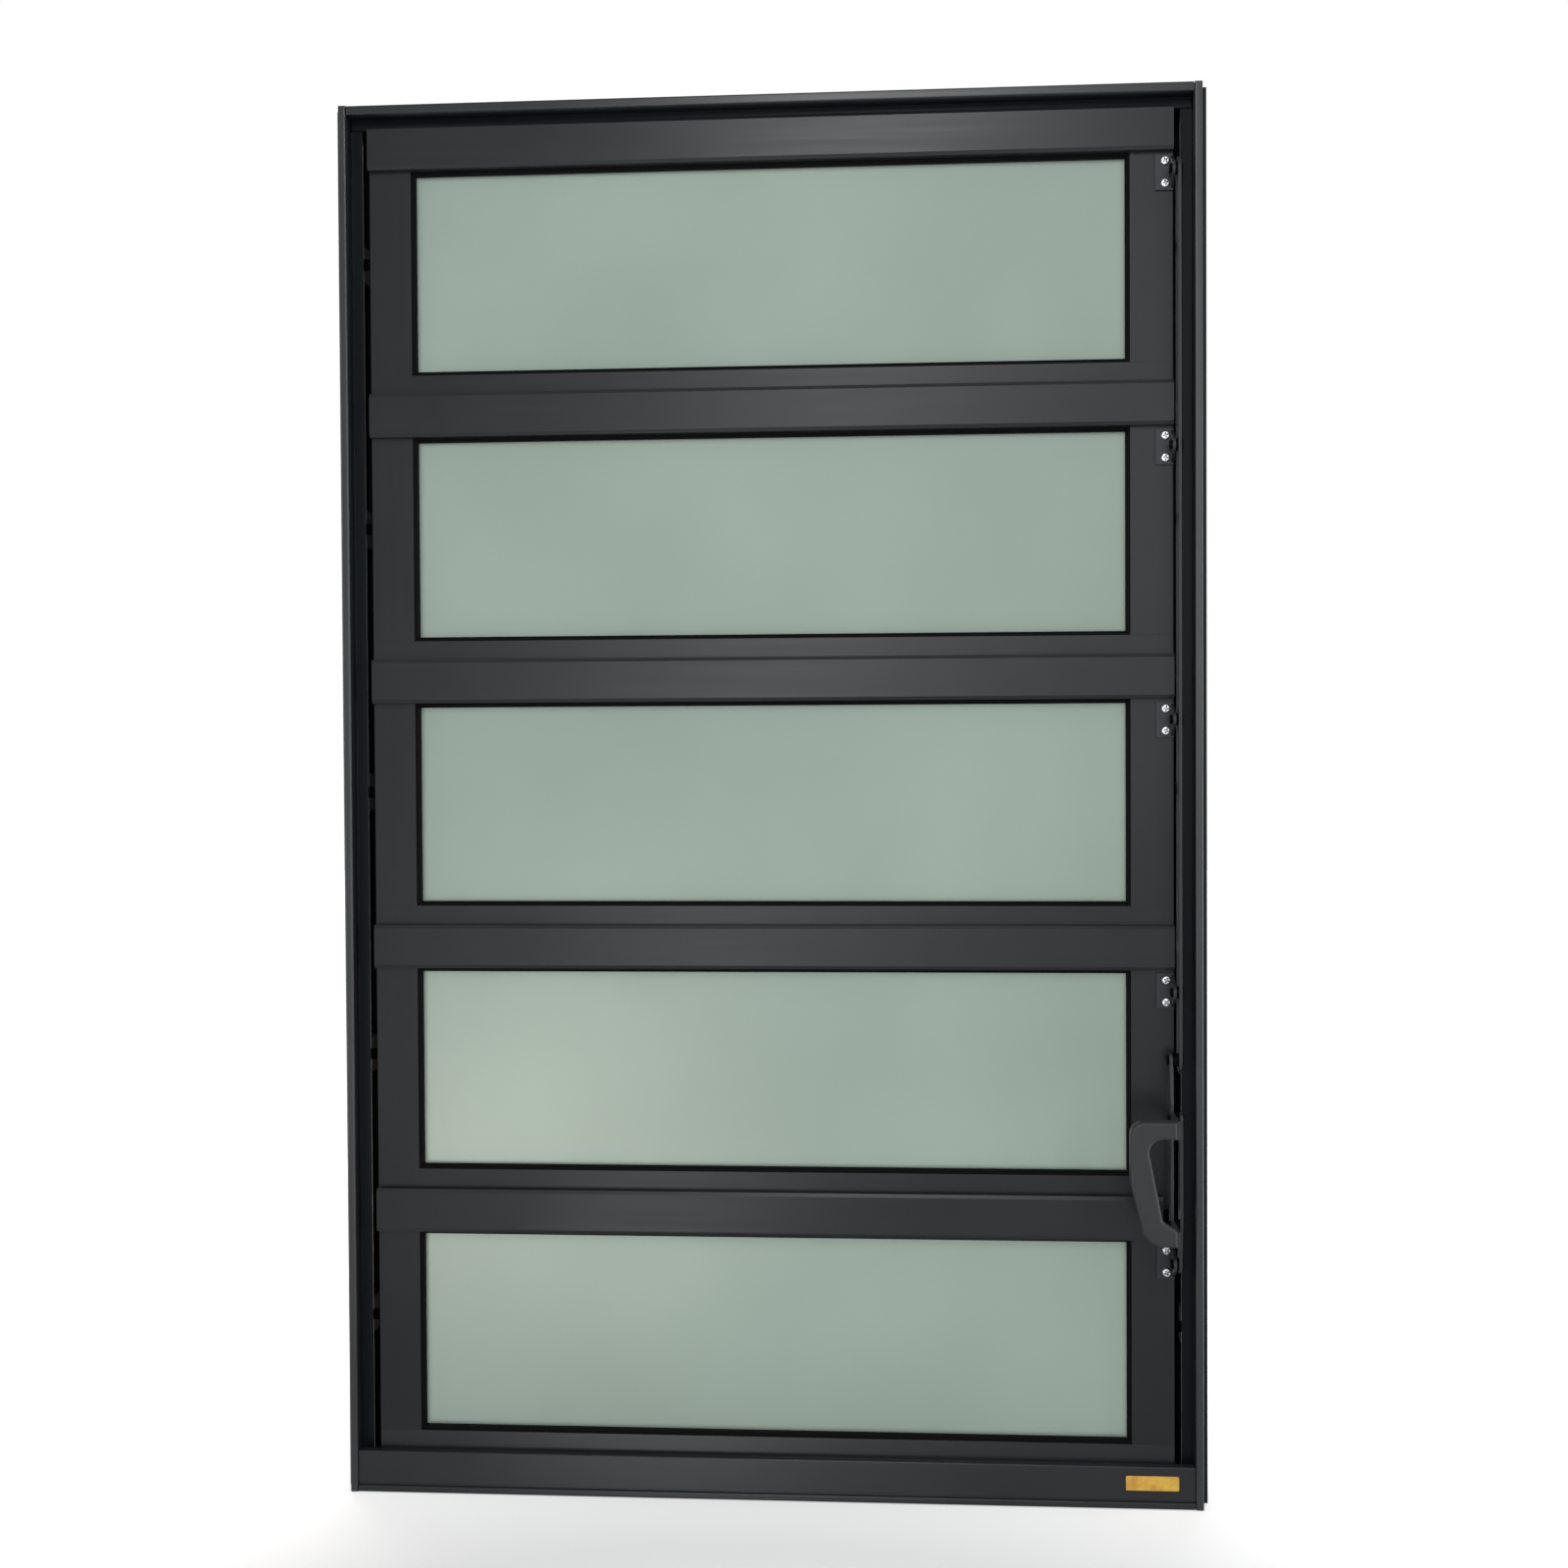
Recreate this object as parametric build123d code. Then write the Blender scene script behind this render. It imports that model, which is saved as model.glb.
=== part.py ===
from build123d import *
import os

os.makedirs("parts", exist_ok=True)

# A window of five horizontally pivoted sashes in one frame, opened together by a rod and a
# handle at the right. Seen from the room: +X right, +Y outward, +Z up, in millimetres.
# Origin: middle of the sill's underside, in the plane of the pivots.

# Frame
FRAME_W = 621.0
FRAME_H = 1000.0
FRAME_D = 45.0
FRAME_WALL = 1.5
RIM_SET_IN = 4.3  # jambs' rims inside the outer sides
NOSE_W = 5.7  # rim round the room side
NOSE_ROUND = 1.2
HEAD_NOSE_W = 6.5
FIN_W = 8.3  # recessed strip inside the rim
HEAD_FIN_DROP = 14.0
JOINT_GAP = 0.4  # hairline where head and sill meet the jambs
FIXING_HOLE_D = 6.0  # frame screws through the jambs' webs

# Rubber seals clipped on the jambs' outer flanges
SEAL_T = 1.5
SEAL_COVER = 4.0  # flange edge held in the seal
SEAL_W = 3.4  # beyond the flange's edge
PAD_BELOW = 10.0  # pad behind the shortened rail, under that rail
PAD_CLEAR = 2.5  # pad's top under the rail above
PAD_COVER = 2.0  # behind the shortened rail's end

# Sill
SILL_PLATE_H = 30.0
SILL_PLATE_STEP = 1.0  # behind the rim's face
SILL_LEDGE_CLEAR = 6.5  # plate's ledge before the lowest rail
SILL_BAND_H = 5.0
SILL_GROOVE_H = 1.7
SILL_GROOVE_D = 1.3
SILL_GUTTER_Z = 8.0
SILL_OUTER_Z = 6.0
SILL_UPSTAND_Z = 15.0
SILL_UPSTAND_Y = -3.0

# Sashes
SASH_COUNT = 5
SASH_GAP = 5.0  # sash side to fin
SASH_WALL = 1.4
HEAD_LAP = 1.5  # uppermost lip over the head's fin
SILL_CLEAR = 6.0  # lowest rail above the sill's upstand
STILE_W = 30.0
STILE_FACE_Y = -8.5
SASH_BACK_Y = 8.0
POCKET_D = 9.0  # glazing pocket
RAIL_H = 31.5
RAIL_FACE_Y = -15.0
RAIL_BODY_BACK_Y = 1.6
RAIL_BEVEL_H = 2.5
RAIL_BEVEL_D = 1.3
LIP_H = 12.5  # lapping over the rail above
LOWER_RAIL_H = 20.0
LOWER_RAIL_SHOWS = 13.5  # above the next sash's lip
DRIP_LIP_H = 7.0

# Glass and its gasket
GLASS_T = 4.0
GLASS_COVER = 7.0  # edge held in the pocket
GASKET_LIP = 3.0
GASKET_BEVEL = 1.5

# Pivots
PIN_D = 8.0
PIN_REACH = 12.0  # into the stile
PIN_CLEAR = 0.3
BLOCK_H = 28.0
BLOCK_SET_BACK = 1.0
BLOCK_CHAMFER = 1.5

# Brackets, one on each right stile
BRACKET_T = 2.0
BRACKET_W = 12.4
BRACKET_H = 25.0
BRACKET_DROP = 15.0  # rivet below the top rail
SCREW_SPACING = 15.7
SCREW_HOLE_D = 3.4
SCREW_FROM_EDGE = 5.6
RIVET_OUT = 10.0  # rivet line in front of the stiles
EAR_R = 6.0

# Linkage
BAR_T = 2.0
ROD_D = 16.0
SIDE_CLEAR = 1.6  # rod to the rails' ends
RIVET_D = 5.0
RIVET_CLEAR = 0.2
RIVET_HEAD_D = 9.0
RIVET_HEAD_T = 2.0
RIVET_TAIL_D = 6.5
RIVET_TAIL_T = 1.4
RIVET_PLAY = 0.25
ROD_END_RISE = 144.5  # rod's end above the lowest rivet
LEVER_D = 10.0
LEVER_SPACER = 4.5  # washers between lever and rod
LEVER_SET_OUT = 6.0  # lever's centre line in front of the rivet line
LEVER_TOP_R = 6.0
LEVER_CRANK_RISE = 115.0
RAIL_RELIEF = 3.4  # lowest top rail's end to the lever

# Handle grip: a C-shaped plate open to the right
GRIP_RISE = 23.5  # above the lowest rivet
GRIP_H = 86.0
GRIP_W = 33.6
GRIP_T = 10.0
GRIP_STAND_OFF = 38.5  # back of the grip in front of the rivet line
GRIP_TOP_ARM_H = 12.2
GRIP_BOTTOM_ARM_H = 10.5
GRIP_ARM_RISE = 6.5  # lower arm's top edge, from its end to the bar
GRIP_BAR_W = 10.8
GRIP_LEAN = 11.0  # lower end of the grip's bar to the right of its upper end
GRIP_ROUND = 2.0
GRIP_HEAD_R = 9.5
GRIP_WAIST_R = 30.0
GRIP_FOOT_R = 15.0
GRIP_INNER_HEAD_R = 9.0
GRIP_INNER_FOOT_R = 5.0

FRONT_Y = -FRAME_D / 2
BACK_Y = FRAME_D / 2
HALF_W = FRAME_W / 2
FIN_Y = STILE_FACE_Y
FIN_BACK_Y = FIN_Y + FRAME_WALL
RIM_X = HALF_W - RIM_SET_IN
NOSE_X = RIM_X - NOSE_W
FIN_X = NOSE_X - FIN_W
WEB_X = HALF_W - FRAME_WALL
HEAD_FIN_Z = FRAME_H - HEAD_FIN_DROP
SASH_X = FIN_X - SASH_GAP
OPENING_X = SASH_X - STILE_W
POCKET_X = OPENING_X + POCKET_D
POCKET_FRONT_Y = STILE_FACE_Y + SASH_WALL
POCKET_BACK_Y = SASH_BACK_Y - SASH_WALL

# Heights in the frame: each sash takes an equal share, with its pivot in the middle
LIP_Z = HEAD_FIN_Z + HEAD_LAP
FOOT_Z = SILL_UPSTAND_Z + SILL_CLEAR + LOWER_RAIL_H - LOWER_RAIL_SHOWS
SASH_PITCH = (LIP_Z - FOOT_Z) / SASH_COUNT
PIVOT_Z = [LIP_Z - SASH_PITCH * (i + 0.5) for i in range(SASH_COUNT)]

# Heights in a sash, from its pivot
LIP_TOP = SASH_PITCH / 2
RAIL_BODY_TOP = LIP_TOP - LIP_H
RAIL_BOTTOM = LIP_TOP - RAIL_H
LOWER_RAIL_TOP = LOWER_RAIL_SHOWS - SASH_PITCH / 2
LOWER_RAIL_BOTTOM = LOWER_RAIL_TOP - LOWER_RAIL_H
DRIP_LIP_BOTTOM = LOWER_RAIL_BOTTOM - DRIP_LIP_H
POCKET_TOP = RAIL_BOTTOM + POCKET_D
POCKET_BOTTOM = LOWER_RAIL_TOP - POCKET_D
BRACKET_V = RAIL_BOTTOM - BRACKET_DROP

RIVET_Y = STILE_FACE_Y - RIVET_OUT
ROD_X = SASH_X + SIDE_CLEAR
EAR_X = SASH_X - BRACKET_T
LEVER_X = ROD_X - LEVER_SPACER - BAR_T
SHORT_RAIL_X = LEVER_X - RAIL_RELIEF
LEVER_Y = RIVET_Y - LEVER_SET_OUT
LOWEST_RIVET_Z = PIVOT_Z[-1] + BRACKET_V
ROD_END_Z = LOWEST_RIVET_Z + ROD_END_RISE
LEVER_CRANK_Z = LOWEST_RIVET_Z + LEVER_CRANK_RISE
GRIP_BOTTOM_Z = LOWEST_RIVET_Z + GRIP_RISE
GRIP_TOP_Z = GRIP_BOTTOM_Z + GRIP_H
UPPER_GRIP_RIVET_Z = GRIP_TOP_Z - GRIP_TOP_ARM_H / 2
LOWER_GRIP_RIVET_Z = GRIP_BOTTOM_Z + GRIP_BOTTOM_ARM_H / 2
GRIP_BACK_Y = RIVET_Y - GRIP_STAND_OFF
GRIP_X = LEVER_X + BAR_T - GRIP_W


def outline(points, radii=None):
    """Closed face through the points, with the given corner radii."""
    if radii is None:
        return make_face(Polyline(*points, close=True))
    return make_face(FilletPolyline(*points, radius=radii, close=True))


def along_x(face, x_from, x_to):
    """Extrude a face drawn in (y, z)."""
    return extrude(Plane.YZ.offset(x_from) * face, amount=x_to - x_from)


def along_z(face, z_from, z_to):
    """Extrude a face drawn in (x, y)."""
    return extrude(Pos(0, 0, z_from) * face, amount=z_to - z_from)


def block(x_range, y_range, z_range):
    """Box between two values on each axis."""
    spans = (x_range, y_range, z_range)
    size = [high - low for low, high in spans]
    middle = [(high + low) / 2 for low, high in spans]
    return Pos(*middle) * Box(*size)


def rod_x(diameter, x_from, x_to, y=0.0, z=0.0):
    """Cylinder along X."""
    face = Pos(y, z) * Circle(diameter / 2)
    return along_x(face, x_from, x_to)


def left_of(shape):
    """Left-hand copy of a right-hand piece."""
    return mirror(shape, about=Plane.YZ)


def jamb():
    """Right jamb: hollow nose, web set out behind it, fin and outer flange between."""
    nose = outline(
        [
            (RIM_X, FRONT_Y),
            (RIM_X, FIN_Y),
            (HALF_W, FIN_Y),
            (HALF_W, BACK_Y),
            (WEB_X, BACK_Y),
            (WEB_X, FIN_BACK_Y),
            (NOSE_X, FIN_BACK_Y),
            (NOSE_X, FRONT_Y),
        ],
        [NOSE_ROUND, 0, 0, 0, 0, 0, 0, NOSE_ROUND],
    )
    hollow = outline(
        [
            (RIM_X - FRAME_WALL, FRONT_Y + FRAME_WALL),
            (RIM_X - FRAME_WALL, FIN_Y),
            (NOSE_X + FRAME_WALL, FIN_Y),
            (NOSE_X + FRAME_WALL, FRONT_Y + FRAME_WALL),
        ]
    )
    fin_top = HEAD_FIN_Z - JOINT_GAP
    fin = block((FIN_X, NOSE_X), (FIN_Y, FIN_BACK_Y), (SILL_GUTTER_Z, fin_top))
    flange_y = BACK_Y - FRAME_WALL
    flange = block((FIN_X, WEB_X), (flange_y, BACK_Y), (slope_height(flange_y), HEAD_FIN_Z))
    bar = along_z(nose - hollow, 0, FRAME_H) + fin + flange
    for one, other in ((PIVOT_Z[0], PIVOT_Z[1]), (PIVOT_Z[-2], PIVOT_Z[-1])):
        z = (one + other) / 2
        bar -= rod_x(FIXING_HOLE_D, WEB_X, HALF_W, (FIN_BACK_Y + flange_y) / 2, z)
    return bar


def slope_height(y):
    """Height of the sill's outer slope at a depth behind the upstand."""
    start = SILL_UPSTAND_Y + FRAME_WALL
    fall = SILL_GUTTER_Z - SILL_OUTER_Z
    return SILL_GUTTER_Z - fall * (y - start) / (BACK_Y - start)


def jamb_noses():
    """Room for the jambs' noses and a hairline at the ends of the head and the sill."""
    right = block((NOSE_X - JOINT_GAP, HALF_W), (FRONT_Y, FIN_BACK_Y), (0, FRAME_H))
    return [right, left_of(right)]


def head():
    """Head: nose butted between the jambs' noses, fin and flange running to their webs."""
    top = FRAME_H
    face = outline(
        [
            (FRONT_Y, top - HEAD_NOSE_W),
            (FRONT_Y, top),
            (BACK_Y, top),
            (BACK_Y, HEAD_FIN_Z),
            (BACK_Y - FRAME_WALL, HEAD_FIN_Z),
            (BACK_Y - FRAME_WALL, top - FRAME_WALL),
            (FIN_BACK_Y, top - FRAME_WALL),
            (FIN_BACK_Y, HEAD_FIN_Z),
            (FIN_Y, HEAD_FIN_Z),
            (FIN_Y, top - HEAD_NOSE_W),
        ],
        [NOSE_ROUND, NOSE_ROUND] + [0] * 8,
    )
    hollow = outline(
        [
            (FRONT_Y + FRAME_WALL, top - HEAD_NOSE_W + FRAME_WALL),
            (FRONT_Y + FRAME_WALL, top - FRAME_WALL),
            (FIN_Y, top - FRAME_WALL),
            (FIN_Y, top - HEAD_NOSE_W + FRAME_WALL),
        ]
    )
    return along_x(face - hollow, -WEB_X, WEB_X) - jamb_noses()


def sill():
    """Sill: lower band, groove, front plate with a ledge, gutter, upstand and outer slope."""
    plate_y = FRONT_Y + SILL_PLATE_STEP
    plate_back_y = plate_y + FRAME_WALL
    groove_y = plate_y + SILL_GROOVE_D
    groove_top = SILL_BAND_H + SILL_GROOVE_H
    ledge_y = STILE_FACE_Y - SILL_LEDGE_CLEAR
    upstand_back_y = SILL_UPSTAND_Y + FRAME_WALL
    face = outline(
        [
            (FRONT_Y, 0),
            (FRONT_Y, SILL_BAND_H),
            (groove_y, SILL_BAND_H),
            (groove_y, groove_top),
            (plate_y, groove_top),
            (plate_y, SILL_PLATE_H),
            (ledge_y, SILL_PLATE_H),
            (ledge_y, SILL_PLATE_H - FRAME_WALL),
            (plate_back_y, SILL_PLATE_H - FRAME_WALL),
            (plate_back_y, SILL_GUTTER_Z),
            (SILL_UPSTAND_Y, SILL_GUTTER_Z),
            (SILL_UPSTAND_Y, SILL_UPSTAND_Z),
            (upstand_back_y, SILL_UPSTAND_Z),
            (upstand_back_y, SILL_GUTTER_Z),
            (BACK_Y, SILL_OUTER_Z),
            (BACK_Y, 0),
        ],
        [NOSE_ROUND, NOSE_ROUND, 0, 0, 0, NOSE_ROUND] + [0] * 10,
    )
    hollow = outline(
        [
            (groove_y + FRAME_WALL, FRAME_WALL),
            (groove_y + FRAME_WALL, SILL_GUTTER_Z - FRAME_WALL),
            (upstand_back_y, SILL_GUTTER_Z - FRAME_WALL),
            (BACK_Y - FRAME_WALL, SILL_OUTER_Z - FRAME_WALL),
            (BACK_Y - FRAME_WALL, FRAME_WALL),
        ]
    )
    bar = along_x(face - hollow, -WEB_X, WEB_X) - jamb_noses()
    behind_fins = block((FIN_X, HALF_W), (FIN_Y, FIN_BACK_Y), (SILL_GUTTER_Z, FRAME_H))
    return bar - behind_fins - left_of(behind_fins)


def seals():
    """Seals of both jambs: a strip on each outer flange, with a pad behind the shortened rail."""
    flange_y = BACK_Y - FRAME_WALL
    z_range = (SILL_GUTTER_Z, HEAD_FIN_Z)
    strip = block((FIN_X - SEAL_W, FIN_X + SEAL_COVER), (flange_y - SEAL_T, BACK_Y + SEAL_T), z_range)
    strip -= block((FIN_X, WEB_X), (flange_y, BACK_Y), z_range)
    front_edge = strip.faces().sort_by(Axis.X)[0].edges().sort_by(Axis.Y)[0]
    right = fillet(front_edge, SEAL_T)
    low = PIVOT_Z[-1] + RAIL_BOTTOM - PAD_BELOW
    high = PIVOT_Z[-2] + DRIP_LIP_BOTTOM - PAD_CLEAR
    pad = block((SHORT_RAIL_X - PAD_COVER, FIN_X), (flange_y - SEAL_T, BACK_Y + SEAL_T), (low, high))
    return Compound([right + pad, left_of(right)])


def pivot_block():
    """Right-hand pivot: a block between the jamb's fin and the seal, with its pin."""
    body = block(
        (FIN_X + BLOCK_SET_BACK, WEB_X),
        (FIN_BACK_Y, BACK_Y - FRAME_WALL - SEAL_T),
        (-BLOCK_H / 2, BLOCK_H / 2),
    )
    body = chamfer(body.faces().sort_by(Axis.X)[0].edges(), BLOCK_CHAMFER)
    pin = rod_x(PIN_D, SASH_X - PIN_REACH, FIN_X + BLOCK_SET_BACK + BLOCK_CHAMFER)
    return body + pin


def pivot_blocks():
    """All the pivots of the frame, as solids apart from each other."""
    right = pivot_block()
    pair = [right, left_of(right)]
    return Compound([Pos(0, 0, z) * piece for z in PIVOT_Z for piece in pair])


def top_rail(right_end):
    """Top rail: bevelled front box standing before the stiles, lip above, pocket below."""
    wall = SASH_WALL
    face = outline(
        [
            (RAIL_FACE_Y + RAIL_BEVEL_D, LIP_TOP),
            (RAIL_FACE_Y, LIP_TOP - RAIL_BEVEL_H),
            (RAIL_FACE_Y, RAIL_BOTTOM + RAIL_BEVEL_H),
            (RAIL_FACE_Y + RAIL_BEVEL_D, RAIL_BOTTOM),
            (POCKET_FRONT_Y, RAIL_BOTTOM),
            (POCKET_FRONT_Y, POCKET_TOP),
            (POCKET_BACK_Y, POCKET_TOP),
            (POCKET_BACK_Y, RAIL_BOTTOM),
            (SASH_BACK_Y, RAIL_BOTTOM),
            (SASH_BACK_Y, POCKET_TOP + wall),
            (RAIL_BODY_BACK_Y, POCKET_TOP + wall),
            (RAIL_BODY_BACK_Y, RAIL_BODY_TOP),
            (RAIL_FACE_Y + wall, RAIL_BODY_TOP),
            (RAIL_FACE_Y + wall, LIP_TOP),
        ]
    )
    hollow = outline(
        [
            (RAIL_FACE_Y + wall, RAIL_BODY_TOP - wall),
            (RAIL_BODY_BACK_Y - wall, RAIL_BODY_TOP - wall),
            (RAIL_BODY_BACK_Y - wall, POCKET_TOP + wall),
            (POCKET_FRONT_Y - wall, POCKET_TOP + wall),
            (POCKET_FRONT_Y - wall, RAIL_BOTTOM + wall),
            (RAIL_FACE_Y + RAIL_BEVEL_D + wall, RAIL_BOTTOM + wall),
            (RAIL_FACE_Y + wall, RAIL_BOTTOM + RAIL_BEVEL_H),
        ]
    )
    return along_x(face - hollow, -SASH_X, right_end)


def bottom_rail():
    """Bottom rail: box flush with the stiles, pocket above, drip lip on the outside."""
    wall = SASH_WALL
    face = outline(
        [
            (STILE_FACE_Y, LOWER_RAIL_TOP),
            (STILE_FACE_Y, LOWER_RAIL_BOTTOM),
            (POCKET_BACK_Y, LOWER_RAIL_BOTTOM),
            (POCKET_BACK_Y, DRIP_LIP_BOTTOM),
            (SASH_BACK_Y, DRIP_LIP_BOTTOM),
            (SASH_BACK_Y, LOWER_RAIL_TOP),
            (POCKET_BACK_Y, LOWER_RAIL_TOP),
            (POCKET_BACK_Y, POCKET_BOTTOM),
            (POCKET_FRONT_Y, POCKET_BOTTOM),
            (POCKET_FRONT_Y, LOWER_RAIL_TOP),
        ]
    )
    hollow = outline(
        [
            (POCKET_FRONT_Y, POCKET_BOTTOM - wall),
            (POCKET_FRONT_Y, LOWER_RAIL_BOTTOM + wall),
            (POCKET_BACK_Y, LOWER_RAIL_BOTTOM + wall),
            (POCKET_BACK_Y, POCKET_BOTTOM - wall),
        ]
    )
    return along_x(face - hollow, -SASH_X, SASH_X)


def stile():
    """Right stile: outer box with the pin's bore, glazing pocket on the inner side."""
    wall = SASH_WALL
    face = outline(
        [
            (SASH_X, STILE_FACE_Y),
            (SASH_X, SASH_BACK_Y),
            (OPENING_X, SASH_BACK_Y),
            (OPENING_X, POCKET_BACK_Y),
            (POCKET_X, POCKET_BACK_Y),
            (POCKET_X, POCKET_FRONT_Y),
            (OPENING_X, POCKET_FRONT_Y),
            (OPENING_X, STILE_FACE_Y),
        ]
    )
    hollow = outline(
        [
            (SASH_X - wall, POCKET_FRONT_Y),
            (SASH_X - wall, POCKET_BACK_Y),
            (POCKET_X + wall, POCKET_BACK_Y),
            (POCKET_X + wall, POCKET_FRONT_Y),
        ]
    )
    bore = rod_x(PIN_D + 2 * PIN_CLEAR, SASH_X - PIN_REACH, SASH_X + SASH_GAP)
    return along_z(face - hollow, LOWER_RAIL_TOP, RAIL_BOTTOM) - bore


def glass():
    """Pane, held in the pocket on all four sides."""
    half = OPENING_X + GLASS_COVER
    v_range = (LOWER_RAIL_TOP - GLASS_COVER, RAIL_BOTTOM + GLASS_COVER)
    return block((-half, half), (-GLASS_T / 2, GLASS_T / 2), v_range)


def gasket():
    """U-shaped rubber ring that fills the pocket round the glass."""
    y_range = (POCKET_FRONT_Y, POCKET_BACK_Y)
    ring = block((-POCKET_X, POCKET_X), y_range, (POCKET_BOTTOM, POCKET_TOP))
    half = OPENING_X - GASKET_LIP
    v_range = (LOWER_RAIL_TOP + GASKET_LIP, RAIL_BOTTOM - GASKET_LIP)
    ring -= block((-half, half), y_range, v_range)
    inner = ring.edges().filter_by(lambda e: abs(e.center().Y) > GLASS_T and on_lip(e, half, v_range))
    return chamfer(inner, GASKET_BEVEL) - glass()


def on_lip(edge, half, v_range):
    """Whether an edge bounds the ring's inner opening."""
    middle = edge.center()
    inside_x = abs(middle.X) < half + GASKET_BEVEL
    inside_z = v_range[0] - GASKET_BEVEL < middle.Z < v_range[1] + GASKET_BEVEL
    return inside_x and inside_z


def bracket():
    """Angle bracket: plate screwed to the stile, tapered ear bent towards the room."""
    low = BRACKET_V - BRACKET_H / 2
    high = BRACKET_V + BRACKET_H / 2
    plate_y = STILE_FACE_Y - BRACKET_T
    plate = block((SASH_X - BRACKET_W, SASH_X), (plate_y, STILE_FACE_Y), (low, high))
    eye = Pos(RIVET_Y, BRACKET_V) * Circle(EAR_R)
    foot = Polyline((STILE_FACE_Y, low), (STILE_FACE_Y, high))
    ear = along_x(make_hull(eye.edges() + foot.edges()), EAR_X, SASH_X)
    ear -= rod_x(RIVET_D + 2 * RIVET_CLEAR, EAR_X, SASH_X, RIVET_Y, BRACKET_V)
    screw_x = SASH_X - SCREW_FROM_EDGE
    hole = Plane.XZ * Pos(screw_x, BRACKET_V) * Circle(SCREW_HOLE_D / 2)
    for side in (-1, 1):
        shift = Pos(0, STILE_FACE_Y, side * SCREW_SPACING / 2)
        plate -= extrude(shift * hole, amount=BRACKET_T)
    return plate + ear


def connecting_rod():
    """Flat rod from the uppermost bracket down to the lever."""
    low = ROD_END_Z
    high = PIVOT_Z[0] + BRACKET_V
    middle = (low + high) / 2
    face = Pos(RIVET_Y, middle) * Rot(0, 0, 90) * SlotCenterToCenter(high - low, ROD_D)
    rod = along_x(face, ROD_X, ROD_X + BAR_T)
    for z in rod_rivet_heights():
        rod -= rod_x(RIVET_D, ROD_X, ROD_X + BAR_T, RIVET_Y, z)
    return rod


def rod_rivet_heights():
    """Rivets on the main rod: the upper brackets and the lever's end."""
    return [z + BRACKET_V for z in PIVOT_Z[:-1]] + [ROD_END_Z]


def strap(stations):
    """Cranked strap in (y, z): rounded hulls through (y, z, radius) stations."""
    faces = []
    for one, other in zip(stations, stations[1:]):
        circles = [Pos(y, z) * Circle(r) for y, z, r in (one, other)]
        faces.append(make_hull(circles[0].edges() + circles[1].edges()))
    return Sketch() + faces


def lever_bar():
    """Lever plate: cranked from the rod's end to the front, with two tabs for the grip."""
    half = LEVER_D / 2
    face = strap(
        [
            (RIVET_Y, ROD_END_Z, LEVER_TOP_R),
            (LEVER_Y, LEVER_CRANK_Z, half),
            (LEVER_Y, LOWER_GRIP_RIVET_Z, half),
        ]
    )
    tab_front = GRIP_BACK_Y - GRIP_T + GRIP_ROUND
    for z, height in grip_arms():
        tab = Pos((tab_front + LEVER_Y) / 2, z) * Rectangle(LEVER_Y - tab_front, height)
        face += tab
    bar = along_x(face, LEVER_X, LEVER_X + BAR_T)
    bar -= rod_x(RIVET_D, LEVER_X, LEVER_X + BAR_T, RIVET_Y, ROD_END_Z)
    for z, height in grip_arms():
        bar -= rod_x(RIVET_D, LEVER_X, LEVER_X + BAR_T, LEVER_Y, z)
    return bar


def grip_arms():
    """Middle height and depth of the grip's two arms."""
    return [(UPPER_GRIP_RIVET_Z, GRIP_TOP_ARM_H), (LOWER_GRIP_RIVET_Z, GRIP_BOTTOM_ARM_H)]


def lever_link():
    """Short link beside the lever plate, down to the lowest bracket."""
    half = LEVER_D / 2
    face = strap(
        [
            (RIVET_Y, LOWEST_RIVET_Z, LEVER_TOP_R),
            (LEVER_Y, LOWER_GRIP_RIVET_Z, half),
            (LEVER_Y, UPPER_GRIP_RIVET_Z, half),
        ]
    )
    link = along_x(face, ROD_X, ROD_X + BAR_T)
    link -= rod_x(RIVET_D, ROD_X, ROD_X + BAR_T, RIVET_Y, LOWEST_RIVET_Z)
    for z, height in grip_arms():
        link -= rod_x(RIVET_D, ROD_X, ROD_X + BAR_T, LEVER_Y, z)
    return link


def grip():
    """Grip: C-shaped plate on the lever's tabs, its bar leaning to the right at the foot."""
    right = LEVER_X
    left = GRIP_X
    foot = left + GRIP_LEAN
    arm_top = GRIP_TOP_Z - GRIP_TOP_ARM_H
    arm_bottom = GRIP_BOTTOM_Z + GRIP_BOTTOM_ARM_H
    waist_z = (GRIP_TOP_Z + GRIP_BOTTOM_Z) / 2
    face = outline(
        [
            (right, GRIP_TOP_Z),
            (left, GRIP_TOP_Z),
            (left, waist_z),
            (foot, GRIP_BOTTOM_Z),
            (right, GRIP_BOTTOM_Z),
            (right, arm_bottom),
            (foot + GRIP_BAR_W, arm_bottom + GRIP_ARM_RISE),
            (left + GRIP_BAR_W, arm_top),
            (right, arm_top),
        ],
        [
            0,
            GRIP_HEAD_R,
            GRIP_WAIST_R,
            GRIP_FOOT_R,
            0,
            0,
            GRIP_INNER_FOOT_R,
            GRIP_INNER_HEAD_R,
            0,
        ],
    )
    plate = extrude(Plane.XZ * face, amount=GRIP_T)
    plate = Pos(0, GRIP_BACK_Y, 0) * plate
    front = plate.faces().sort_by(Axis.Y)[0].edges()
    return fillet(front, GRIP_ROUND)


def rivet(tail_x, head_x, y, z):
    """Rivet along X: flat tail at the left, bevelled head at the right."""
    shank = rod_x(RIVET_D, tail_x, head_x, y, z)
    tail = rod_x(RIVET_TAIL_D, tail_x - RIVET_TAIL_T, tail_x, y, z)
    head = rod_x(RIVET_HEAD_D, head_x, head_x + RIVET_HEAD_T, y, z)
    head = chamfer(head.edges().sort_by(Axis.X)[-1], RIVET_HEAD_T / 2)
    return shank + tail + head


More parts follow.
